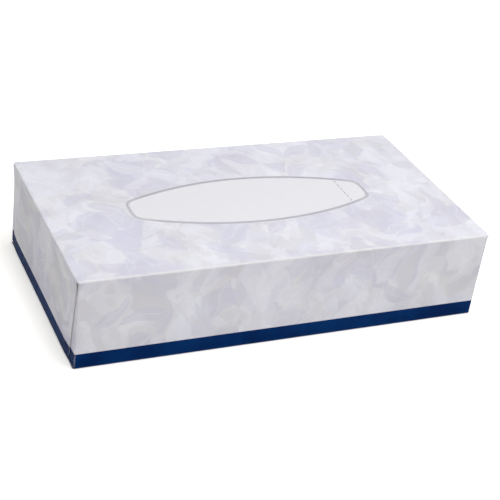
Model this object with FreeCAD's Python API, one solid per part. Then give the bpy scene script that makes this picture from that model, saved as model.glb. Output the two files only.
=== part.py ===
"""Flat facial tissue box, sealed and unopened, as one solid in millimetres.

The carton is one folded and glued blank of printed board. It can't be seen into, so the pack is solid inside,
and its outside has the folds, glued end flaps, raw board edges and tear-out perforation of the real carton.

Frame: origin at the centre of the underside, +X along the box, -Y out of the long front panel, +Z up.
"""
import FreeCAD
import Part
import math
import os

Vector = FreeCAD.Vector

# Carton over all: the two outer end flaps bound its length.
LENGTH = 228.0
WIDTH = 122.0
HEIGHT = 50.0

# Board and folds: a fold's outer radius is its inner radius and the board.
BOARD = 0.45
FOLD_INNER_RADIUS = 0.45

# Glue lap: the underside panel stops this far short of the curve of the fold above it, behind.
LAP_CLEARANCE = 0.3

# Outer end flap, folded down from the top panel over the other flaps.
OUTER_FLAP_CLEARANCE = 0.5
OUTER_FLAP_FOOT = 1.4
OUTER_FLAP_CORNER = 3.0
FOLD_NOTCH_RADIUS = 0.5

# Inner end flap, folded up from the underside panel below the outer flap.
INNER_FLAP_CLEARANCE = 7.0
INNER_FLAP_HEAD = 2.6
INNER_FLAP_CORNER = 4.0

# Both end flaps narrow from their fold to their free edge, by this angle at each side.
FLAP_TAPER = 7.5

# Tear-out oval in the top panel: two long arcs cut short by blunt ends, which lie on one circle.
OVAL_LENGTH = 136.0
OVAL_WIDTH = 46.0
OVAL_ARC_RADIUS = 163.0
OVAL_CORNER = 6.0

# The oval's outline is perforated: cuts with uncut ties between them.
CUT_WIDTH = 0.18
CUT_LENGTH = 4.4
TIE_LENGTH = 0.75

# Finger tab: a cut crease across the oval, this far from its right end.
TAB_LENGTH = 12.4
TAB_CUT_LENGTH = 2.4
TAB_TIE_LENGTH = 1.6
TAB_END_TIE = 0.8

# The fewest ties that hold the oval in.
FEWEST_TIES = 8

# Sizes that follow from those above.
FOLD_RADIUS = FOLD_INNER_RADIUS + BOARD
OUTER_FLAP_FACE = LENGTH / 2
INNER_FLAP_FACE = OUTER_FLAP_FACE - BOARD
DUST_FLAP_FACE = INNER_FLAP_FACE - BOARD
SEAM_INSET = FOLD_RADIUS + LAP_CLEARANCE
OUTER_FLAP_SIDE = WIDTH / 2 - FOLD_RADIUS - OUTER_FLAP_CLEARANCE
INNER_FLAP_SIDE = WIDTH / 2 - FOLD_RADIUS - INNER_FLAP_CLEARANCE
FOLD_ROOT = 3 * BOARD + 2 * FOLD_RADIUS
OVAL_ARC_CENTRE = OVAL_ARC_RADIUS - OVAL_WIDTH / 2

# How far an edge's middle may be from the place where it is looked for.
SLACK = BOARD / 4


def folded_block(y_back, z_bottom, z_top):
    """A block between the two planes of the dust flaps, from the front panel back to y_back.

    Its edges are rounded as the score lines between the panels are.
    """
    size = (2 * DUST_FLAP_FACE, y_back + WIDTH / 2, z_top - z_bottom)
    corner = Vector(-DUST_FLAP_FACE, -WIDTH / 2, z_bottom)
    block = Part.makeBox(*size, corner)
    return block.makeFillet(FOLD_RADIUS, block.Edges)


def sleeve():
    """The four long panels and the dust flaps behind the end flaps.

    The front and underside panels share one fold. The back panel folds into the glue lap, which lies on the
    underside panel, so that panel's raw edge shows as a step along the back.
    """
    upper = folded_block(WIDTH / 2, BOARD, HEIGHT)
    lower = folded_block(WIDTH / 2 - SEAM_INSET, 0.0, HEIGHT / 2)
    seam_corner = Vector(-DUST_FLAP_FACE + FOLD_RADIUS, WIDTH / 2 - SEAM_INSET - 2 * FOLD_RADIUS, 0)
    seam_size = (2 * (DUST_FLAP_FACE - FOLD_RADIUS), 2 * FOLD_RADIUS, 2 * FOLD_RADIUS)
    raw_edge = Part.makeBox(*seam_size, seam_corner)
    return upper.fuse([lower, raw_edge])


def edges_along(shape, length, x_min, z_min, z_max):
    """The shape's edges of that length whose middle is beyond x_min and between z_min and z_max."""
    found = []
    for edge in shape.Edges:
        middle = edge.CenterOfMass
        if abs(edge.Length - length) < 1e-6 and middle.x > x_min and z_min < middle.z < z_max:
            found.append(edge)
    return found


def flap_blank(face_x, side, reach, corner_radius):
    """A block with the flap's outline seen along X: straight at the fold, then narrowing to the free edge."""
    tip_side = side - (reach - FOLD_RADIUS) * math.tan(math.radians(FLAP_TAPER))
    outline = [(side, 0), (side, FOLD_RADIUS), (tip_side, reach)]
    outline += [(-y, z) for y, z in reversed(outline)]
    points = [Vector(face_x - FOLD_ROOT, y, z) for y, z in outline]
    block = Part.Face(Part.makePolygon(points + points[:1])).extrude(Vector(FOLD_ROOT, 0, 0))
    free_corners = edges_along(block, FOLD_ROOT, 0, reach - SLACK, reach + SLACK)
    return block.makeFillet(corner_radius, free_corners)


def bent_board(face_x, side, reach):
    """Board folded at a bottom edge on z = 0: a strip of panel, and a flap standing up to z = reach.

    face_x is the flap's outer face and side is half its width.
    """
    root_x = face_x - FOLD_ROOT
    back_x = face_x - BOARD
    outline = [(root_x, 0), (face_x, 0), (face_x, reach), (back_x, reach), (back_x, BOARD), (root_x, BOARD)]
    points = [Vector(x, -side, z) for x, z in outline]
    board = Part.Face(Part.makePolygon(points + points[:1])).extrude(Vector(0, 2 * side, 0))
    fold = edges_along(board, 2 * side, face_x - SLACK, -SLACK, SLACK)
    board = board.makeFillet(FOLD_RADIUS, fold)
    hollow = edges_along(board, 2 * side, back_x - SLACK, BOARD - SLACK, BOARD + SLACK)
    return board.makeFillet(FOLD_INNER_RADIUS, hollow)


def end_flap(face_x, side, reach, corner_radius):
    """A flap at the right end that stands up from a fold at the foot, cut to its outline."""
    return bent_board(face_x, side, reach).common(flap_blank(face_x, side, reach, corner_radius))


def inner_end_flap():
    """The flap at the right end that comes up from the underside panel."""
    return end_flap(INNER_FLAP_FACE, INNER_FLAP_SIDE, HEIGHT - INNER_FLAP_HEAD, INNER_FLAP_CORNER)


def outer_end_flap():
    """The flap at the right end that comes down from the top panel, with a notch at each end of its fold."""
    flap = end_flap(OUTER_FLAP_FACE, OUTER_FLAP_SIDE, HEIGHT - OUTER_FLAP_FOOT, OUTER_FLAP_CORNER)
    flap.rotate(Vector(0, 0, HEIGHT / 2), Vector(1, 0, 0), 180)
    out_of_fold = Vector(1, 0, 1).normalize()
    notches = []
    for side in (-OUTER_FLAP_SIDE, OUTER_FLAP_SIDE):
        start = Vector(OUTER_FLAP_FACE, side, HEIGHT) - out_of_fold * 2 * FOLD_RADIUS
        notches.append(Part.makeCylinder(FOLD_NOTCH_RADIUS, 3 * FOLD_RADIUS, start, out_of_fold))
    return flap.cut(notches)


def end_closures():
    """Both flaps at both ends. The flaps are glued down, so nothing there moves."""
    right = [inner_end_flap(), outer_end_flap()]
    left = [flap.mirror(Vector(0, 0, 0), Vector(1, 0, 0)) for flap in right]
    return right + left


def disc(y, radius):
    """A disc of board thickness in the top panel, centred on the oval's length and at y across it."""
    return Part.makeCylinder(radius, BOARD, Vector(0, y, HEIGHT - BOARD))


def oval_plug(grow):
    """The block of board within the oval, grown outwards by grow."""
    arcs = [disc(y, OVAL_ARC_RADIUS + grow) for y in (-OVAL_ARC_CENTRE, OVAL_ARC_CENTRE)]
    plug = arcs[0].common(arcs[1]).common(disc(0, OVAL_LENGTH / 2 + grow))
    upright = [edge for edge in plug.Edges if abs(edge.Length - BOARD) < 1e-6]
    corners = [edge for edge in upright if abs(edge.CenterOfMass.y) > SLACK]
    return plug.makeFillet(OVAL_CORNER + grow, corners)


def tie_block(point, along, length):
    """A block as long as a tie and wider than the cut that it interrupts, centred on point."""
    span = 3 * CUT_WIDTH
    block = Part.makeBox(length, span, 2 * BOARD, Vector(-length / 2, -span / 2, -BOARD))
    turn = FreeCAD.Rotation(Vector(1, 0, 0), along)
    block.Placement = FreeCAD.Placement(point, turn)
    return block


def oval_cuts():
    """The cuts round the tear-out oval, through the board, at an even pitch along its outline."""
    ring = oval_plug(CUT_WIDTH / 2).cut(oval_plug(-CUT_WIDTH / 2))
    outline = max(oval_plug(0).Faces, key=lambda face: face.CenterOfMass.z).OuterWire
    count = max(FEWEST_TIES, round(outline.Length / (CUT_LENGTH + TIE_LENGTH)))
    stations = outline.discretize(Number=2 * count + 1)
    ties = []
    for i in range(count):
        start, stop = stations[2 * i], stations[2 * i + 1]
        middle = (start + stop) / 2 - Vector(0, 0, BOARD / 2)
        ties.append(tie_block(middle, stop - start, TIE_LENGTH))
    return ring.cut(ties)


def tab_cuts():
    """The broken crease that the finger tab bends on, straight across the oval."""
    x = OVAL_LENGTH / 2 - TAB_LENGTH
    half_chord = math.sqrt(OVAL_ARC_RADIUS ** 2 - x ** 2) - OVAL_ARC_CENTRE
    room = 2 * (half_chord - TAB_END_TIE)
    pitch = TAB_CUT_LENGTH + TAB_TIE_LENGTH
    count = max(1, int((room + TAB_TIE_LENGTH) / pitch))
    first = -(count * pitch - TAB_TIE_LENGTH) / 2
    cuts = []
    for i in range(count):
        corner = Vector(x - CUT_WIDTH / 2, first + i * pitch, HEIGHT - BOARD)
        cuts.append(Part.makeBox(CUT_WIDTH, TAB_CUT_LENGTH, BOARD, corner))
    return cuts


def tissue_box():
    """The whole sealed pack."""
    body = sleeve().fuse(end_closures()).removeSplitter()
    return body.cut([oval_cuts()] + tab_cuts())


def main():
    os.makedirs("parts", exist_ok=True)
    box = tissue_box()
    solids = box.Solids
    print("solids", len(solids), "valid", box.isValid(), "volume", round(box.Volume, 1))
    print("corners", box.BoundBox)
    solids[0].exportStep("parts/tissue_box.step")


main()
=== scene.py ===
import math

import bpy
import numpy as np
from mathutils import Matrix, Vector
from mathutils.kdtree import KDTree
from mathutils.geometry import delaunay_2d_cdt


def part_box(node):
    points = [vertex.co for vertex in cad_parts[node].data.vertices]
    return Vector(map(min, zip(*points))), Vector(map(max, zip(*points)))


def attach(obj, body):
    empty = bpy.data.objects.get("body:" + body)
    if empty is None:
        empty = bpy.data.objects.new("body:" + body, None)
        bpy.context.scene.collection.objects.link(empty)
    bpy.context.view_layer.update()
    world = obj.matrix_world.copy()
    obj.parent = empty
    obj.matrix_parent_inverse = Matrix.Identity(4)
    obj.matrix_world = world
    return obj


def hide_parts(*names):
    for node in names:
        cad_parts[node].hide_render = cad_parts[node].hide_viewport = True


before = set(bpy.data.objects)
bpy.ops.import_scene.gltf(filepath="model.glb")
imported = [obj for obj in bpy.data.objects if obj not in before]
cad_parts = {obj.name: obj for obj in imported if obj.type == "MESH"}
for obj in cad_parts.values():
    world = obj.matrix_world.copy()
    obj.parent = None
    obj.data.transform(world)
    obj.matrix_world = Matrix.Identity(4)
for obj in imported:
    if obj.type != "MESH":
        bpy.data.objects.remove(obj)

MM = 0.001
QUARTER = math.pi / 2

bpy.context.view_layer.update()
box_low, box_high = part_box("tissue_box")
LENGTH, WIDTH, HEIGHT = [side / MM for side in box_high - box_low]

# Board, folds and the air between glued layers.
BOARD = 0.45
FOLD_RADIUS = 0.9
LAYER_GAP = 0.04
LAP_CLEARANCE = 0.3
GLUE_LAP = 14.0

# End flaps.
OUTER_FLAP_CLEARANCE = 0.5
OUTER_FLAP_FOOT = 1.4
OUTER_FLAP_CORNER = 3.0
INNER_FLAP_CLEARANCE = 12.0
INNER_FLAP_HEAD = 2.6
INNER_FLAP_CORNER = 4.0
DUST_FLAP_CLEARANCE = 0.3
DUST_FLAP_REACH = 38.0
DUST_FLAP_CORNER = 9.0
FLAP_TAPER = math.radians(7.5)
FOLD_NOTCH_RADIUS = 0.5

# The outer flap is pressed down onto the dust flaps where the inner flap stops short under it: how far it
# goes down, and how long its slope is.
PRESS_DEPTH = 0.42
PRESS_RUN = 6.0

# Tear-out oval: two long arcs cut short by blunt ends, which lie on one circle. The last value is how far
# its corners are eased. Then its perforation and the finger tab.
OVAL_LENGTH = 136.0
OVAL_WIDTH = 46.0
OVAL_ARC_RADIUS = 163.0
OVAL_EASE = 5.3
CUT_WIDTH = 0.18
CUT_LENGTH = 4.4
TIE_LENGTH = 0.75
TAB_LENGTH = 12.4
TAB_CUT_LENGTH = 2.4
TAB_CUT_WIDTH = 0.34
TAB_TIE_LENGTH = 1.6
TAB_END_TIE = 0.8
OVAL_SINK = 0.12
OVAL_SINK_RAMP = 0.8

# Print.
BAND_HEIGHT = 8.8
BAND_UNDER = 3.0
OVAL_LINE_WIDTH = 2.0

# The pale print is mixed a little towards the band's blue between these heights, most at the lower one, so
# that it is darker towards the foot.
BLUE_FROM = 36.0
BLUE_TO = 12.0
BLUE_SHARE = 0.045

# Pale print: how far its outlines drift, and the pitch and size of its blossoms and leaves. A leaf's length
# and width are half of the whole. Then how strongly each layer is printed.
DRIFT = 18.0
BLOSSOM_PITCH = 42.0
BLOSSOM_RADIUS = 17.0
PETALS = 5.0
LEAF_PITCH = 22.0
LEAF_LENGTH = 12.0
LEAF_WIDTH = 4.5
BROAD_INK = 0.62
PALE_INK = 0.50
FINE_INK = 0.35
MOTIF_INK = 0.50
RIB_INK = 0.35
GRAIN_INK = 0.20

# Gloss of the coated print.
PRINT_GLOSS = 0.015

# Mesh spacing.
GRID = 3.0
FOLD_STEPS = 6
CORNER_FOLD_STEPS = 5
SUPPORT = 0.35
CLEAR_OF_EDGES = 0.12
CLEAR_OF_CUTS = 0.9
NOTCH_STEPS = 8
CORNER_STEPS = 6
CUT_STEPS = 5
OVAL_STEPS = 2000
HALVINGS = 40

# How far each panel is pulled in at its middle.
TOP_BOW = 0.40
SIDE_BOW = 0.30
END_BOW = 0.22
UNDER_BOW = 0.25

# Stage, in metres: the floor glows a little to the camera, more so far out where the lamps fade, and casts
# less of that on the box. Then the even fill light from all round.
FLOOR_HALF = 3.0
GLOW_NEAR = 0.3
GLOW_FAR = 1.0
FLOOR_GLOW = 0.38
FAR_FLOOR_GLOW = 1.1
FLOOR_CAST = 0.34
FILL_LIGHT = 0.05

# Photograph's camera, and the point that it looks at.
CAMERA_AT = Vector((-269.5, -529.8, 368.6))
CAMERA_TARGET = Vector((1.75, -4.15, 20.0))
CAMERA_ROLL = math.radians(8.37)
CAMERA_LENS = 90.7
SENSOR = 36.0


# Sections of the girth: each is a panel or a quarter fold, in order from the glue lap.

FOLD_ARC = FOLD_RADIUS * QUARTER
LAP_LEVEL = BOARD + LAYER_GAP / 2
SECTIONS = [
    ("lap", GLUE_LAP),
    ("lap_fold", FOLD_ARC),
    ("back", HEIGHT - LAP_LEVEL - 2 * FOLD_RADIUS),
    ("back_fold", FOLD_ARC),
    ("top", WIDTH - 2 * FOLD_RADIUS),
    ("front_fold", FOLD_ARC),
    ("front", HEIGHT - 2 * FOLD_RADIUS),
    ("foot_fold", FOLD_ARC),
    ("under", WIDTH - 2 * FOLD_RADIUS - LAP_CLEARANCE),
]
ENDS = np.cumsum([0.0] + [length for name, length in SECTIONS])
START = {name: ENDS[i] for i, (name, length) in enumerate(SECTIONS)}
STOP = {name: ENDS[i + 1] for i, (name, length) in enumerate(SECTIONS)}
GIRTH = ENDS[-1]
TOP_MIDDLE = (START["top"] + STOP["top"]) / 2
UNDER_MIDDLE = START["under"] + WIDTH / 2 - FOLD_RADIUS

# Where each panel's end fold begins, along the box.
OUTER_FACE = LENGTH / 2
INNER_FACE = OUTER_FACE - BOARD - LAYER_GAP
DUST_FACE = INNER_FACE - BOARD - LAYER_GAP
OUTER_FOLD = OUTER_FACE - FOLD_RADIUS
INNER_FOLD = INNER_FACE - FOLD_RADIUS
DUST_FOLD = DUST_FACE - FOLD_RADIUS
PANEL_FOLD = {"lap": DUST_FOLD, "back": DUST_FOLD, "top": OUTER_FOLD, "front": DUST_FOLD, "under": INNER_FOLD}
CORNER_TURN = FOLD_ARC * CORNER_FOLD_STEPS / FOLD_STEPS
OUTER_REACH = HEIGHT - FOLD_RADIUS - OUTER_FLAP_FOOT
INNER_REACH = HEIGHT - FOLD_RADIUS - INNER_FLAP_HEAD


def turned(vectors, angles):
    """Plane vectors turned by angles, counterclockwise."""
    c, s = np.cos(angles), np.sin(angles)
    return np.stack([c * vectors[:, 0] - s * vectors[:, 1], s * vectors[:, 0] + c * vectors[:, 1]], 1)


def girth_frame(girth):
    """The section's point and outward normal in the YZ plane, for each girth value."""
    point = np.array([WIDTH / 2 - FOLD_RADIUS - GLUE_LAP, LAP_LEVEL])
    heading = np.array([1.0, 0.0])
    points = np.zeros((len(girth), 2))
    normals = np.zeros((len(girth), 2))
    for i, (name, length) in enumerate(SECTIONS):
        normal = np.array([heading[1], -heading[0]])
        last = i == len(SECTIONS) - 1
        inside = (girth >= ENDS[i] - 1e-9) & ((girth < ENDS[i + 1]) | last)
        run = (girth[inside] - ENDS[i])[:, None]
        if name.endswith("fold"):
            centre = point - normal * FOLD_RADIUS
            turns = turned(np.repeat(normal[None], len(run), 0), run[:, 0] / FOLD_RADIUS)
            points[inside] = centre + turns * FOLD_RADIUS
            normals[inside] = turns
            heading = np.array([-heading[1], heading[0]])
            point = centre + np.array([heading[1], -heading[0]]) * FOLD_RADIUS
        else:
            points[inside] = point + run * heading
            normals[inside] = normal
            point = point + length * heading
    return points, normals


def section_at(girth):
    """The name of the section that holds one girth value."""
    index = int(np.searchsorted(ENDS, girth, side="right")) - 1
    return SECTIONS[min(max(index, 0), len(SECTIONS) - 1)][0]


def end_fold_of(girth):
    """Where the end fold begins at each girth value. Between two panels it runs from the one to the other."""
    at = [value for name in PANEL_FOLD for value in (START[name], STOP[name])]
    begins = [fold for fold in PANEL_FOLD.values() for end in range(2)]
    return np.interp(girth, at, begins)


def oval_distance(girth, along):
    """Distance outside the oval's outline, in millimetres. It is negative inside."""
    x, y = along, np.abs(girth - TOP_MIDDLE)
    long_arc = np.hypot(x, y + OVAL_ARC_RADIUS - OVAL_WIDTH / 2) - OVAL_ARC_RADIUS
    end_arc = np.hypot(x, y) - OVAL_LENGTH / 2
    ease = np.maximum(OVAL_EASE - np.abs(long_arc - end_arc), 0) / OVAL_EASE
    return np.maximum(long_arc, end_arc) + ease ** 3 * OVAL_EASE / 6


def smooth(low, high, value):
    """0 below low, 1 above high, and a smooth step between."""
    x = np.clip((value - low) / (high - low), 0, 1)
    return x * x * (3 - 2 * x)


def waves(u, v, phase):
    """A gentle unevenness of about one unit, from a few crossed waves."""
    return (
        0.45 * np.sin(u / 17 + 1.3 * phase) * np.cos(v / 23 - phase)
        + 0.35 * np.sin(u / 31 + v / 27 + 2.1 * phase)
        + 0.20 * np.sin(u / 11 - v / 13 + 0.7 * phase)
    )


def panel_bow(girth, along):
    """How far the board stands out from its flat panel, within the panels. It is 0 on the folds."""
    out = np.zeros(len(girth))
    depth = {"back": SIDE_BOW, "top": TOP_BOW, "front": SIDE_BOW, "under": UNDER_BOW}
    for phase, (name, bow) in enumerate(depth.items()):
        inside = (girth > START[name]) & (girth < STOP[name]) & (np.abs(along) < PANEL_FOLD[name])
        across = 2 * (girth[inside] - START[name]) / (STOP[name] - START[name]) - 1
        end = along[inside] / PANEL_FOLD[name]
        window = (1 - across ** 2) * (1 - end ** 4)
        uneven = 0.75 + 0.35 * waves(along[inside], girth[inside], 1.0 + phase)
        out[inside] = -bow * window * uneven
    sunk = (girth > START["top"]) & (girth < STOP["top"]) & (np.abs(along) < OUTER_FOLD)
    inner = smooth(OVAL_SINK_RAMP / 2, -OVAL_SINK_RAMP / 2, oval_distance(girth, along))
    out[sunk] -= OVAL_SINK * inner[sunk]
    return out


def flap_press(y, z, down):
    """How far the outer flap is pressed in beyond the inner flap's sides. down is the run from its fold."""
    inner_side = WIDTH / 2 - FOLD_RADIUS - INNER_FLAP_CLEARANCE - math.tan(FLAP_TAPER) * (z - FOLD_RADIUS)
    return PRESS_DEPTH * smooth(0, PRESS_RUN, np.abs(y) - inner_side) * smooth(0, PRESS_RUN, down)


def fold_up(girth, along):
    """The folded carton's outer surface and outward normal, in millimetres, for points of the blank."""
    points, normals = girth_frame(girth)
    side = np.sign(along)
    begin = end_fold_of(girth)
    past = np.maximum(np.abs(along) - begin, 0)
    angle = np.minimum(past / FOLD_RADIUS, QUARTER)
    down = np.maximum(past - FOLD_ARC, 0)
    facing = normals * np.cos(angle)[:, None]
    outward = side * np.sin(angle)
    place = points + (facing - normals) * FOLD_RADIUS - normals * down[:, None]
    x = side * np.minimum(np.abs(along), begin) + outward * FOLD_RADIUS
    surface = np.column_stack([x, place])
    normal = np.column_stack([outward, facing])
    y, z = place[:, 0], place[:, 1]
    on_end = (1 - (2 * y / WIDTH) ** 2) * (1 - (2 * z / HEIGHT - 1) ** 2)
    end_bow = -END_BOW * np.clip(on_end, 0, 1) * (0.8 + 0.3 * waves(y, z, 5.0 + side)) * (down > 0)
    on_top_panel = (girth > START["top"]) & (girth < STOP["top"])
    pressed = flap_press(y, z, down) * on_top_panel
    surface += normal * (panel_bow(girth, along) + end_bow - pressed)[:, None]
    return surface, normal


# The blank's outline, in (girth, along).

def arc(centre, radius, start, stop, steps):
    """Points on an arc, both ends included."""
    angles = np.linspace(start, stop, steps + 1)
    return [(centre[0] + radius * math.cos(a), centre[1] + radius * math.sin(a)) for a in angles]


def mirrored(points, middle):
    """The same points on the other side of the girth value middle, in order of girth."""
    return [(2 * middle - g, a) for g, a in reversed(points)]


def tapered_side(root, fold_end, reach, corner):
    """A flap's side from its root to its free edge, in order: straight, narrowing, with a rounded corner."""
    lean = math.tan(FLAP_TAPER)
    tip = fold_end + reach
    centre = (root + lean * (reach - corner) + corner / math.cos(FLAP_TAPER), tip - corner)
    return [(root, fold_end)] + arc(centre, corner, math.pi - FLAP_TAPER, QUARTER, CORNER_STEPS)


def outer_flap():
    """The right end of the top panel: a notch at each side of the fold, and the flap."""
    root = START["top"] + OUTER_FLAP_CLEARANCE
    fold_end = OUTER_FOLD + FOLD_ARC
    notch = arc((root, fold_end), FOLD_NOTCH_RADIUS, -QUARTER, QUARTER, NOTCH_STEPS)
    side = tapered_side(root, fold_end, OUTER_REACH, OUTER_FLAP_CORNER)
    half = [(START["top"], OUTER_FOLD + CORNER_TURN)] + notch + side[1:]
    return half + mirrored(half, TOP_MIDDLE)


def inner_flap():
    """The right end of the underside panel and its flap."""
    root = START["under"] + INNER_FLAP_CLEARANCE
    side = tapered_side(root, INNER_FOLD + FOLD_ARC, INNER_REACH, INNER_FLAP_CORNER)
    half = [(root, INNER_FOLD + CORNER_TURN)] + side
    near_front = [(START["under"], INNER_FOLD + CORNER_TURN)]
    return near_front + half + mirrored(half, UNDER_MIDDLE) + [(GIRTH, INNER_FOLD + CORNER_TURN)]


def dust_flap(name):
    """The right end of the front or back panel and its flap, which has cut corners."""
    low = START[name] + DUST_FLAP_CLEARANCE
    fold_end = DUST_FOLD + FOLD_ARC
    tip = fold_end + DUST_FLAP_REACH
    half = [
        (START[name], DUST_FOLD + CORNER_TURN),
        (low, fold_end),
        (low, tip - DUST_FLAP_CORNER),
        (low + DUST_FLAP_CORNER, tip),
    ]
    return half + mirrored(half, (START[name] + STOP[name]) / 2)


def right_outline():
    """The blank's right-hand edge, from the glue lap to the underside panel's free edge."""
    lap = [(0.0, DUST_FOLD - GLUE_LAP / 3), (STOP["lap"], DUST_FOLD)]
    return lap + dust_flap("back") + outer_flap() + dust_flap("front") + inner_flap()


# Lines that the mesh follows: the folds are cut finely, the panels evenly.

def spaced(low, high, step):
    """Values from low to high about step apart, with one more close to each end."""
    inner = np.linspace(low + SUPPORT, high - SUPPORT, max(2, round((high - low) / step)))
    return [low, *inner, high]


def girth_lines():
    """Every girth value that has a row of points."""
    values = []
    for i, (name, length) in enumerate(SECTIONS):
        if name.endswith("fold"):
            values += list(np.linspace(ENDS[i], ENDS[i + 1], FOLD_STEPS + 1))
        else:
            values += spaced(ENDS[i], ENDS[i + 1], GRID)
    return np.unique(np.round(values, 6))


def along_lines(fold):
    """Every along value that has a column of points, at the right end of a panel with its end fold there."""
    panel = [v for v in spaced(-DUST_FOLD, DUST_FOLD, GRID) if v >= 0]
    turn = list(np.linspace(fold, fold + FOLD_ARC, FOLD_STEPS + 1))
    flap = spaced(fold + FOLD_ARC, fold + FOLD_ARC + HEIGHT, GRID)
    return np.unique(np.round(panel + turn + flap, 6))


ROWS = girth_lines()


def split_at_lines(outline):
    """The closed outline with a point at each row or column that it crosses, so that it can bend there."""
    points = []
    for (g0, a0), (g1, a1) in zip(outline, outline[1:] + outline[:1]):
        shares = {0.0}
        name = section_at((g0 + g1) / 2)
        if abs(g1 - g0) > 1e-6:
            shares |= {float(v) for v in (ROWS - g0) / (g1 - g0) if 0.02 < v < 0.98}
        if abs(a1 - a0) > 1e-6 and name in PANEL_FOLD:
            columns = along_lines(PANEL_FOLD[name])
            both = np.concatenate([-columns, columns])
            shares |= {float(v) for v in (both - a0) / (a1 - a0) if 0.02 < v < 0.98}
        for share in sorted(shares):
            points.append((g0 + share * (g1 - g0), a0 + share * (a1 - a0)))
    return points


# The perforation.

def slit(path, normals, width):
    """A closed outline of a cut of even width along a short path."""
    half = width / 2
    left = [p + n * half for p, n in zip(path, normals)]
    right = [p - n * half for p, n in zip(path, normals)]
    return [tuple(p) for p in left + right[::-1]]


def oval_outline():
    """Points close together round the oval, starting and ending at its right tip."""
    angle = np.linspace(0, 2 * math.pi, OVAL_STEPS + 1)
    x, y = np.cos(angle) * OVAL_LENGTH / 2, np.sin(angle) * OVAL_WIDTH / 2
    low, high = np.zeros(len(angle)), np.full(len(angle), 2.0)
    for _ in range(HALVINGS):
        middle = (low + high) / 2
        outside = oval_distance(TOP_MIDDLE + y * middle, x * middle) > 0
        low, high = np.where(outside, low, middle), np.where(outside, middle, high)
    return np.column_stack([TOP_MIDDLE + y * low, x * low])


def oval_slits():
    """Cuts round the oval at an even pitch, with ties between them."""
    outline = oval_outline()
    steps = np.linalg.norm(np.diff(outline, axis=0), axis=1)
    run = np.concatenate([[0], np.cumsum(steps)])
    count = round(run[-1] / (CUT_LENGTH + TIE_LENGTH))
    pitch = run[-1] / count
    reach = (pitch - TIE_LENGTH) / 2
    cuts = []
    for i in range(count):
        at = (i * pitch + np.linspace(-reach, reach, CUT_STEPS + 1)) % run[-1]
        path = np.column_stack([np.interp(at, run, outline[:, 0]), np.interp(at, run, outline[:, 1])])
        heading = np.gradient(path, axis=0)
        heading /= np.linalg.norm(heading, axis=1)[:, None]
        cuts.append(slit(path, np.column_stack([heading[:, 1], -heading[:, 0]]), CUT_WIDTH))
    return cuts


def tab_slits():
    """The broken crease across the oval's right end."""
    along = OVAL_LENGTH / 2 - TAB_LENGTH
    half_chord = math.sqrt(OVAL_ARC_RADIUS ** 2 - along ** 2) - OVAL_ARC_RADIUS + OVAL_WIDTH / 2
    pitch = TAB_CUT_LENGTH + TAB_TIE_LENGTH
    count = int((2 * (half_chord - TAB_END_TIE) + TAB_TIE_LENGTH) / pitch)
    first = TOP_MIDDLE - (count * pitch - TAB_TIE_LENGTH) / 2
    cuts = []
    for i in range(count):
        start = first + i * pitch
        path = np.array([[start, along], [start + TAB_CUT_LENGTH, along]])
        cuts.append(slit(path, np.array([[0.0, 1.0], [0.0, 1.0]]), TAB_CUT_WIDTH))
    return cuts


def lattice(taken):
    """Points of the rows and columns, left out where they are too close to the points already taken."""
    points = []
    for row in ROWS:
        columns = along_lines(float(end_fold_of(row)))
        both = np.concatenate([-columns, columns])
        points.append(np.column_stack([np.full(len(both), row), both]))
    points = np.unique(np.round(np.concatenate(points), 5), axis=0)
    tree = KDTree(len(taken))
    for i, (point, _) in enumerate(taken):
        tree.insert((*point, 0), i)
    tree.balance()
    free = []
    for point in points:
        index, gap = tree.find((*point, 0))[1:]
        if gap > taken[index][1]:
            free.append(tuple(point))
    return free


def counterclockwise(loop):
    """The closed loop, turned round if it runs clockwise."""
    x, y = np.array(loop).T
    area = np.sum(x * np.roll(y, -1) - y * np.roll(x, -1))
    return loop if area > 0 else loop[::-1]


def blank_mesh():
    """The flat blank as points and triangles, with its cuts left open."""
    right = right_outline()
    outline = split_at_lines(right + [(g, -a) for g, a in reversed(right)])
    slits = oval_slits() + tab_slits()
    points, faces = [], []
    for loop in [outline] + slits:
        faces.append(list(range(len(points), len(points) + len(loop))))
        points += counterclockwise(loop)
    clearances = [CLEAR_OF_EDGES] * len(outline) + [CLEAR_OF_CUTS] * (len(points) - len(outline))
    points += lattice(list(zip(points, clearances)))
    vectors = [Vector(p) for p in points]
    found, _, triangles, _, _, from_faces = delaunay_2d_cdt(vectors, [], faces, 1, 1e-5)
    kept = [tri for tri, source in zip(triangles, from_faces) if list(source) == [0]]
    flat = np.array([tuple(v) for v in found])
    used, index = np.unique(np.array(kept), return_inverse=True)
    return flat[used], index.reshape(-1, 3)


def boundary_edges(triangles):
    """The directed edges that only one triangle has."""
    edges = np.concatenate([triangles[:, [0, 1]], triangles[:, [1, 2]], triangles[:, [2, 0]]])
    seen = {tuple(e) for e in edges.tolist()}
    return [e for e in seen if (e[1], e[0]) not in seen]


def fold_closeness(girth, along):
    """1 on the middle of each fold, falling to 0 about a fold's width from it."""
    middles = [(START[n] + STOP[n]) / 2 for n, length in SECTIONS if n.endswith("fold")]
    gap = np.min([np.abs(girth - m) for m in middles], axis=0)
    gap = np.where(np.abs(along) < DUST_FOLD, gap, FOLD_ARC * 3)
    end_gap = np.abs(np.abs(along) - end_fold_of(girth) - FOLD_ARC / 2)
    gap = np.minimum(gap, end_gap)
    return np.exp(-((gap / (0.55 * FOLD_ARC)) ** 2))


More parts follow.
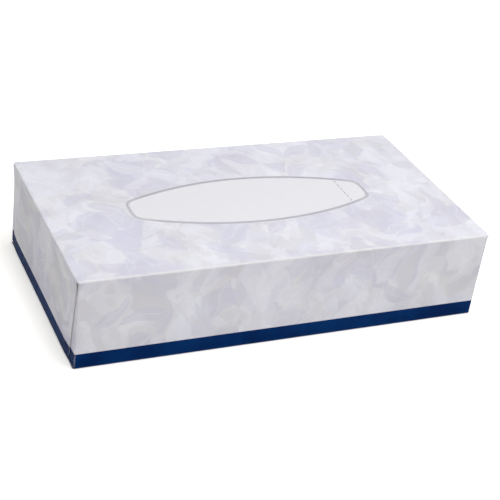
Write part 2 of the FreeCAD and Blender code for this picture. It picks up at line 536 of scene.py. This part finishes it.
def make_carton(materials):
    """The folded carton as one closed mesh of board: outer face, inner face and cut edges."""
    flat, triangles = blank_mesh()
    girth, along = flat[:, 0], flat[:, 1]
    outer, normal = fold_up(girth, along)
    inner = outer - normal * BOARD
    count = len(flat)
    rims = boundary_edges(triangles)
    faces = triangles.tolist()
    faces += (triangles[:, ::-1] + count).tolist()
    faces += [(b, a, a + count, b + count) for a, b in rims]
    mesh = bpy.data.meshes.new("carton")
    mesh.from_pydata((np.concatenate([outer, inner]) * MM).tolist(), [], faces)
    for material in materials:
        mesh.materials.append(material)
    slots = [0] * len(triangles) + [2] * len(triangles) + [1] * len(rims)
    mesh.polygons.foreach_set("material_index", slots)
    mesh.polygons.foreach_set("use_smooth", [slot != 1 for slot in slots])
    blank = mesh.attributes.new("blank", "FLOAT_VECTOR", "POINT")
    both = np.column_stack([np.tile(girth, 2), np.tile(along, 2), np.zeros(2 * count)])
    blank.data.foreach_set("vector", both.ravel())
    closeness = mesh.attributes.new("fold", "FLOAT", "POINT")
    closeness.data.foreach_set("value", np.tile(fold_closeness(girth, along), 2))
    sharp = set()
    for a, b in rims:
        sharp |= {frozenset((a, b)), frozenset((a + count, b + count))}
    flags = [frozenset(edge.vertices) in sharp for edge in mesh.edges]
    mesh.attributes.new("sharp_edge", "BOOLEAN", "EDGE").data.foreach_set("value", flags)
    mesh.validate()
    carton = bpy.data.objects.new("carton", mesh)
    bpy.context.scene.collection.objects.link(carton)
    return carton


# Materials.

class Shader:
    """A material's nodes, built from the output backwards with short calls."""

    def __init__(self, name):
        self.material = bpy.data.materials.new(name)
        self.material.use_nodes = True
        self.tree = self.material.node_tree
        self.surface = self.tree.nodes["Principled BSDF"]

    def node(self, kind, inputs=(), **settings):
        """A node with its settings, and with inputs given as (socket, value or output) pairs."""
        made = self.tree.nodes.new(kind)
        for key, value in settings.items():
            setattr(made, key, value)
        for socket, value in dict(inputs).items():
            if isinstance(value, bpy.types.NodeSocket):
                self.tree.links.new(value, made.inputs[socket])
            else:
                made.inputs[socket].default_value = value
        return made

    def math(self, operation, *values, clamp=False):
        pairs = list(enumerate(values))
        return self.node("ShaderNodeMath", pairs, operation=operation, use_clamp=clamp).outputs[0]

    def vector(self, operation, *values):
        made = self.node("ShaderNodeVectorMath", list(enumerate(values)), operation=operation)
        return made.outputs["Value"] if operation in ("LENGTH", "DOT_PRODUCT") else made.outputs[0]

    def step(self, low, high, value, out_low=0.0, out_high=1.0):
        """A smooth step from out_low to out_high as value goes from low to high."""
        pairs = [("Value", value), ("From Min", low), ("From Max", high)]
        pairs += [("To Min", out_low), ("To Max", out_high)]
        return self.node("ShaderNodeMapRange", pairs, interpolation_type="SMOOTHSTEP").outputs[0]

    def mix(self, factor, first, second, blend="MIX"):
        made = self.node("ShaderNodeMix", data_type="RGBA", blend_type=blend)
        for socket, value in ((0, factor), (6, first), (7, second)):
            if isinstance(value, bpy.types.NodeSocket):
                self.tree.links.new(value, made.inputs[socket])
            else:
                made.inputs[socket].default_value = value
        return made.outputs[2]

    def noise(self, vector, scale, detail=2.0, roughness=0.5, output="Fac"):
        pairs = [("Vector", vector), ("Scale", scale), ("Detail", detail), ("Roughness", roughness)]
        return self.node("ShaderNodeTexNoise", pairs).outputs[output]

    def attribute(self, name, output):
        return self.node("ShaderNodeAttribute", attribute_name=name).outputs[output]

    def split(self, vector):
        return self.node("ShaderNodeSeparateXYZ", [("Vector", vector)]).outputs

    def join(self, x, y, z=0.0):
        return self.node("ShaderNodeCombineXYZ", [(0, x), (1, y), (2, z)]).outputs[0]

    def bump(self, height, distance, strength=1.0, normal=None):
        pairs = [("Height", height), ("Distance", distance), ("Strength", strength)]
        if normal is not None:
            pairs.append(("Normal", normal))
        return self.node("ShaderNodeBump", pairs).outputs[0]

    def surface_from(self, links):
        for socket, value in links.items():
            if isinstance(value, bpy.types.NodeSocket):
                self.tree.links.new(value, self.surface.inputs[socket])
            else:
                self.surface.inputs[socket].default_value = value


def tint(red, green, blue):
    """A colour from 0 to 255 screen values, as linear light."""
    def linear(value):
        v = value / 255
        return v / 12.92 if v <= 0.04045 else ((v + 0.055) / 1.055) ** 2.4
    return (linear(red), linear(green), linear(blue), 1.0)


GROUND_LAVENDER = tint(219, 219, 231)
GROUND_GREY = tint(223, 223, 226)
WASH_LAVENDER = tint(206, 205, 221)
WASH_GREY = tint(211, 210, 214)
LEAF_LIGHT = tint(229, 229, 237)
LEAF_DEEP = tint(204, 203, 218)
PALE = tint(235, 235, 240)
CLOUD_DARK = (0.958, 0.950, 0.950, 1.0)
CLOUD_LIGHT = (1.035, 1.040, 1.045, 1.0)
OVAL_GROUND = tint(226, 225, 230)
OVAL_LINE = tint(182, 180, 188)
BAND_DEEP = tint(0, 34, 84)
BAND_LIGHT = tint(2, 46, 100)
UNPRINTED = tint(230, 229, 230)
BOARD_CORE = tint(186, 185, 184)
BOARD_LAYER = tint(206, 205, 204)
INKED_EDGE = tint(92, 100, 122)
BOARD_BACK = tint(178, 174, 168)


def solid_places(sh):
    """A point's place in the object, in metres and then in millimetres."""
    solid = sh.node("ShaderNodeTexCoord").outputs["Object"]
    return solid, sh.vector("MULTIPLY", solid, (1 / MM, 1 / MM, 1 / MM))


def motif_cell(sh, place, size, jitter):
    """Millimetre coordinates round the nearest motif's centre, turned at random, and random values."""
    scaled = sh.vector("MULTIPLY", place, (1 / size, 1 / size, 0))
    pairs = [("Vector", scaled), ("Scale", 1.0), ("Randomness", jitter)]
    cell = sh.node("ShaderNodeTexVoronoi", pairs, voronoi_dimensions="2D", feature="F1")
    offset = sh.vector("MULTIPLY", sh.vector("SUBTRACT", scaled, cell.outputs["Position"]), (size, size, 0))
    chance = sh.split(cell.outputs["Color"])
    x, y, _ = sh.split(offset)
    turn = sh.math("MULTIPLY", chance[0], 2 * math.pi)
    cosine, sine = sh.math("COSINE", turn), sh.math("SINE", turn)
    u = sh.math("SUBTRACT", sh.math("MULTIPLY", x, cosine), sh.math("MULTIPLY", y, sine))
    v = sh.math("ADD", sh.math("MULTIPLY", x, sine), sh.math("MULTIPLY", y, cosine))
    return u, v, chance


def blossoms(sh, place, size, radius, petals, soft):
    """Round-petalled blossoms: their cover from 0 to 1, and the pale lines between and along the petals."""
    u, v, chance = motif_cell(sh, place, size, 0.85)
    r = sh.math("POWER", sh.math("ADD", sh.math("MULTIPLY", u, u), sh.math("MULTIPLY", v, v)), 0.5)
    angle = sh.math("ARCTAN2", v, u)
    lobe = sh.math("ABSOLUTE", sh.math("COSINE", sh.math("MULTIPLY", angle, petals / 2)))
    edge = sh.math("MULTIPLY_ADD", sh.math("POWER", lobe, 0.6), 0.55, 0.45)
    reach = sh.math("MULTIPLY", edge, sh.math("MULTIPLY_ADD", chance[1], 0.35 * radius, 0.8 * radius))
    gap = sh.math("SUBTRACT", reach, r)
    cover = sh.step(-soft, soft, gap)
    rib = sh.math("MULTIPLY", sh.math("ABSOLUTE", sh.math("SINE", sh.math("MULTIPLY", angle, petals / 2))), r)
    vein = sh.math("MULTIPLY", sh.step(0.9, 0.1, rib), sh.step(0.0, 3.0, gap))
    heart = sh.step(2.2, 1.2, r)
    return cover, sh.math("MAXIMUM", vein, heart), chance[2]


def leaves(sh, place, size, length, width, soft):
    """Pointed leaves with a midrib: their cover, the midrib and a random value."""
    u, v, chance = motif_cell(sh, place, size, 0.9)
    share = sh.math("DIVIDE", u, length)
    belly = sh.math("MULTIPLY", sh.math("SUBTRACT", 1.0, sh.math("MULTIPLY", share, share)), width)
    gap = sh.math("SUBTRACT", belly, sh.math("ABSOLUTE", v))
    cover = sh.step(-soft, soft, gap)
    rib = sh.math("MULTIPLY", sh.step(0.45, 0.1, sh.math("ABSOLUTE", v)), cover)
    return cover, rib, chance[2]


def patches(sh, place, scale, seed, soft):
    """Irregular patches with fairly clean outlines, covering about half of the surface."""
    moved = sh.vector("ADD", place, (seed, 3 * seed, 0.0))
    field = sh.noise(moved, scale, 2.0, 0.45)
    return sh.step(0.5 - soft, 0.5 + soft, field)


def pale_print(sh, place):
    """The faint print: lavender and grey patches under leaves and blossoms of nearly the same tone."""
    warp = sh.noise(place, 0.045, 1.0, 0.4, "Color")
    drift = sh.vector("MULTIPLY", sh.vector("SUBTRACT", warp, (0.5, 0.5, 0.5)), (DRIFT, DRIFT, 0))
    loose = sh.vector("ADD", place, drift)

    colour = sh.mix(patches(sh, place, 0.022, 11.0, 0.12), GROUND_LAVENDER, GROUND_GREY)
    broad = patches(sh, loose, 0.045, 37.0, 0.02)
    broad_tone = sh.mix(patches(sh, place, 0.03, 71.0, 0.05), WASH_LAVENDER, WASH_GREY)
    colour = sh.mix(sh.math("MULTIPLY", broad, BROAD_INK), colour, broad_tone)
    pale = patches(sh, loose, 0.065, 53.0, 0.02)
    colour = sh.mix(sh.math("MULTIPLY", pale, PALE_INK), colour, PALE)
    fine = patches(sh, loose, 0.12, 91.0, 0.03)
    colour = sh.mix(sh.math("MULTIPLY", fine, FINE_INK), colour, WASH_GREY)

    big, big_rib, big_chance = blossoms(sh, loose, BLOSSOM_PITCH, BLOSSOM_RADIUS, PETALS, 1.2)
    big_tone = sh.mix(sh.step(0.35, 0.65, big_chance), WASH_LAVENDER, LEAF_LIGHT)
    colour = sh.mix(sh.math("MULTIPLY", big, MOTIF_INK), colour, big_tone)
    colour = sh.mix(sh.math("MULTIPLY", big_rib, sh.math("MULTIPLY", big, RIB_INK)), colour, PALE)
    shifted = sh.vector("ADD", loose, (113.0, 47.0, 0))
    leaf, rib, leaf_chance = leaves(sh, shifted, LEAF_PITCH, LEAF_LENGTH, LEAF_WIDTH, 0.6)
    leaf_tone = sh.mix(sh.step(0.4, 0.6, leaf_chance), LEAF_LIGHT, LEAF_DEEP)
    colour = sh.mix(sh.math("MULTIPLY", leaf, MOTIF_INK), colour, leaf_tone)
    colour = sh.mix(sh.math("MULTIPLY", rib, RIB_INK), colour, PALE)

    cloud = sh.noise(sh.vector("ADD", loose, (29.0, 61.0, 0.0)), 0.035, 4.0, 0.55)
    cloud_tone = sh.mix(sh.step(0.32, 0.68, cloud), CLOUD_DARK, CLOUD_LIGHT)
    colour = sh.mix(1.0, colour, cloud_tone, "MULTIPLY")
    grain = sh.noise(place, 0.9, 4.0, 0.7)
    return sh.mix(sh.step(0.3, 0.7, grain, 0.0, GRAIN_INK), colour, WASH_LAVENDER)


def oval_print(sh, colour, girth, along, mottle):
    """The colour with the oval's plain ground and its grey line laid over it."""
    across = sh.math("ABSOLUTE", sh.math("SUBTRACT", girth, TOP_MIDDLE))
    lowered = sh.math("ADD", across, OVAL_ARC_RADIUS - OVAL_WIDTH / 2)
    long_arc = sh.math("SUBTRACT", sh.vector("LENGTH", sh.join(along, lowered)), OVAL_ARC_RADIUS)
    end_arc = sh.math("SUBTRACT", sh.vector("LENGTH", sh.join(along, across)), OVAL_LENGTH / 2)
    distance = sh.math("SMOOTH_MAX", long_arc, end_arc, OVAL_EASE)
    ground = sh.mix(sh.step(0.3, 0.7, mottle, 0.0, 0.35), OVAL_GROUND, GROUND_GREY)
    colour = sh.mix(sh.step(0.1, -0.1, distance), colour, ground)
    line_edge = sh.math("SUBTRACT", OVAL_LINE_WIDTH / 2, sh.math("ABSOLUTE", distance))
    line = sh.step(-0.2, 0.2, line_edge)
    faded = sh.step(54.0, 68.0, sh.math("ABSOLUTE", along), 0.85, 0.55)
    return sh.mix(sh.math("MULTIPLY", line, faded), colour, OVAL_LINE)


def band_print(sh, colour, girth, along, level, fine, mottle):
    """The colour with the plain underside and the dark band at the foot, and the band's cover from 0 to 1."""
    # Darker and bluer towards the foot, most at BLUE_TO.
    colour = sh.mix(sh.step(BLUE_FROM, BLUE_TO, level, 0.0, BLUE_SHARE), colour, BAND_DEEP)
    ragged = sh.math("MULTIPLY_ADD", sh.noise(fine, 1.1, 2.0), 0.12, -0.06)
    in_band = sh.step(BAND_HEIGHT + 0.08, BAND_HEIGHT - 0.08, sh.math("ADD", level, ragged))
    under_run = sh.math("SUBTRACT", girth, START["under"])
    past_foot = sh.step(BAND_UNDER - 0.1, BAND_UNDER + 0.1, under_run)
    end_run = sh.math("SUBTRACT", sh.math("ABSOLUTE", along), INNER_FOLD)
    on_flap = sh.step(-BAND_UNDER - 0.1, -BAND_UNDER + 0.1, end_run)
    on_underside = sh.math("MULTIPLY", past_foot, sh.math("SUBTRACT", 1.0, on_flap))
    in_band = sh.math("MULTIPLY", in_band, sh.math("SUBTRACT", 1.0, on_underside))
    band_tone = sh.mix(sh.step(0.35, 0.65, sh.noise(fine, 0.045, 4.0, 0.6)), BAND_DEEP, BAND_LIGHT)
    plain = sh.mix(sh.step(0.3, 0.7, mottle, 0.0, 0.4), UNPRINTED, GROUND_GREY)
    colour = sh.mix(on_underside, colour, plain)
    return sh.mix(in_band, colour, band_tone), in_band


def fold_wear_and_highlight(sh, colour, girth, fold, fine, in_band):
    """The colour with the ink worn off along the folds, and how worn it is from 0 to 1. Along the top-front
    fold the board is also lightened towards its bare white, partly as rubbed ink and partly as a painted
    highlight.
    """
    crack = sh.noise(fine, 2.4, 4.0, 0.75)
    scuff = sh.noise(fine, 0.12, 2.0, 0.6)
    worn = sh.math("MULTIPLY", sh.step(0.35, 0.95, fold), sh.step(0.30, 0.75, crack))
    worn = sh.math("MULTIPLY", worn, sh.step(0.25, 0.8, scuff, 0.35, 1.0))
    worn_in_band = sh.math("MULTIPLY", worn, sh.math("SUBTRACT", 1.0, sh.math("MULTIPLY", in_band, 0.55)))
    colour = sh.mix(worn_in_band, colour, UNPRINTED)
    # A lighter band along the top-front fold only: partly rubbed ink, partly a painted highlight where that
    # fold catches the light.
    from_front_fold = sh.math("ABSOLUTE", sh.math("SUBTRACT", girth, STOP["top"] + FOLD_ARC / 4))
    rubbed_and_highlight = sh.step(1.7, 0.3, sh.math("ADD", from_front_fold, sh.step(0.2, 0.8, scuff)), 0.0, 0.75)
    colour = sh.mix(sh.math("MULTIPLY", rubbed_and_highlight, sh.step(0.0, 0.3, fold)), colour, UNPRINTED)
    return colour, worn


def printed_board():
    """Coated board: the pale print, the oval and its line, the dark band at the foot, the worn folds and a
    painted highlight along the top-front fold.
    """
    sh = Shader("carton_print")
    place = sh.attribute("blank", "Vector")
    fold = sh.attribute("fold", "Fac")
    girth, along, _ = sh.split(place)
    solid, fine = solid_places(sh)
    level = sh.math("DIVIDE", sh.split(solid)[2], MM)
    mottle = sh.noise(place, 0.25, 3.0)

    colour = pale_print(sh, place)
    colour = oval_print(sh, colour, girth, along, mottle)
    colour, in_band = band_print(sh, colour, girth, along, level, fine, mottle)
    colour, worn = fold_wear_and_highlight(sh, colour, girth, fold, fine, in_band)

    gloss = sh.noise(fine, 0.35, 3.0, 0.6)
    rough = sh.step(0.25, 0.75, gloss, 0.36, 0.50)
    rough = sh.math("ADD", rough, sh.math("MULTIPLY", worn, 0.25))
    fibre = sh.noise(fine, 3.2, 3.0, 0.65)
    peel = sh.noise(fine, 0.11, 2.0)
    normal = sh.bump(peel, 0.00035)
    normal = sh.bump(fibre, 0.000012, 1.0, normal)
    normal = sh.bump(sh.math("MULTIPLY", worn, -1.0), 0.00003, 1.0, normal)
    sh.surface_from({"Base Color": colour, "Roughness": rough, "Normal": normal})
    sh.surface_from({"Specular IOR Level": PRINT_GLOSS})
    return sh.material


def board_edge():
    """The cut edge of recycled board: grey core with paler plies, and some of the dark ink along the band."""
    sh = Shader("board_edge")
    solid, fine = solid_places(sh)
    ply = sh.noise(fine, 5.0, 3.0, 0.6)
    fleck = sh.noise(fine, 1.6, 4.0, 0.7)
    colour = sh.mix(sh.step(0.35, 0.65, ply), BOARD_CORE, BOARD_LAYER)
    colour = sh.mix(sh.step(0.5, 0.8, fleck, 0.0, 0.5), colour, BOARD_BACK)
    level = sh.math("DIVIDE", sh.split(solid)[2], MM)
    colour = sh.mix(sh.step(BAND_HEIGHT + 0.4, BAND_HEIGHT - 0.4, level, 0.0, 0.8), colour, INKED_EDGE)
    rough = sh.step(0.3, 0.7, fleck, 0.82, 0.95)
    normal = sh.bump(ply, 0.00005)
    sh.surface_from({"Base Color": colour, "Roughness": rough, "Normal": normal})
    return sh.material


def board_inside():
    """The carton's uncoated inner face: grey recycled fibre."""
    sh = Shader("board_inside")
    _, fine = solid_places(sh)
    fleck = sh.noise(fine, 1.2, 5.0, 0.7)
    colour = sh.mix(sh.step(0.35, 0.7, fleck), BOARD_BACK, BOARD_LAYER)
    rough = sh.step(0.3, 0.7, fleck, 0.8, 0.95)
    normal = sh.bump(sh.noise(fine, 3.0, 3.0), 0.00002)
    sh.surface_from({"Base Color": colour, "Roughness": rough, "Normal": normal})
    return sh.material


def floor_paint():
    """Pale matt paper for the floor."""
    sh = Shader("floor_paper")
    solid = sh.node("ShaderNodeTexCoord").outputs["Object"]
    cloud = sh.noise(solid, 3.0, 3.0)
    colour = sh.mix(sh.step(0.3, 0.7, cloud), tint(252, 251, 247), tint(254, 253, 249))
    seen = sh.node("ShaderNodeLightPath").outputs["Is Camera Ray"]
    look = sh.step(GLOW_NEAR, GLOW_FAR, sh.vector("LENGTH", solid), FLOOR_GLOW, FAR_FLOOR_GLOW)
    glow = sh.math("MULTIPLY_ADD", seen, sh.math("SUBTRACT", look, FLOOR_CAST), FLOOR_CAST)
    sh.surface_from({"Base Color": colour, "Roughness": 0.9})
    sh.surface_from({"Emission Color": tint(255, 254, 251), "Emission Strength": glow})
    return sh.material


# Stage, light and camera.

def make_floor():
    """A wide pale floor under the box."""
    half = FLOOR_HALF
    mesh = bpy.data.meshes.new("floor")
    corners = [(-half, -half, 0), (half, -half, 0), (half, half, 0), (-half, half, 0)]
    mesh.from_pydata(corners, [], [(0, 1, 2, 3)])
    mesh.materials.append(floor_paint())
    floor = bpy.data.objects.new("floor", mesh)
    bpy.context.scene.collection.objects.link(floor)


def softbox(name, at, width, height, watts):
    """A rectangular area light that faces the box."""
    light = bpy.data.lights.new(name, "AREA")
    light.shape = "RECTANGLE"
    light.size, light.size_y = width, height
    light.energy = watts
    lamp = bpy.data.objects.new(name, light)
    lamp.location = at
    lamp.rotation_euler = (Vector((0, 0, HEIGHT * MM / 2)) - Vector(at)).to_track_quat("-Z", "Y").to_euler()
    bpy.context.scene.collection.objects.link(lamp)


def make_world():
    """A weak even fill light. Behind the floor the studio is seen as white."""
    world = bpy.data.worlds.new("studio")
    world.use_nodes = True
    tree = world.node_tree
    rays = tree.nodes.new("ShaderNodeLightPath")
    strength = tree.nodes.new("ShaderNodeMapRange")
    strength.inputs["To Min"].default_value = FILL_LIGHT
    strength.inputs["To Max"].default_value = 1.0
    tree.links.new(rays.outputs["Is Camera Ray"], strength.inputs["Value"])
    background = tree.nodes["Background"]
    background.inputs["Color"].default_value = (1.0, 1.0, 1.0, 1.0)
    tree.links.new(strength.outputs["Result"], background.inputs["Strength"])
    bpy.context.scene.world = world


def make_lights():
    """A wide soft light overhead and a small one close above the front, so that the top fades to the back."""
    softbox("overhead", (0, 0.1, 1.8), 1.8, 1.8, 21.5)
    softbox("near", (0.08, -0.2, 0.6), 0.7, 0.3, 2.4)


def make_camera():
    """The photograph's camera."""
    lens = bpy.data.cameras.new("camera")
    lens.lens = CAMERA_LENS
    lens.sensor_width = SENSOR
    lens.clip_start = 0.01
    camera = bpy.data.objects.new("camera", lens)
    bpy.context.scene.collection.objects.link(camera)
    towards = (CAMERA_TARGET - CAMERA_AT).normalized()
    level = towards.to_track_quat("-Z", "Y").to_matrix()
    turned_view = level @ Matrix.Rotation(CAMERA_ROLL, 3, "Z")
    camera.matrix_world = Matrix.Translation(CAMERA_AT * MM) @ turned_view.to_4x4()
    bpy.context.scene.camera = camera


carton = make_carton([printed_board(), board_edge(), board_inside()])
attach(carton, "root")
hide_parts("tissue_box")
make_floor()
make_world()
make_lights()
make_camera()
bpy.context.scene.view_settings.view_transform = "Standard"
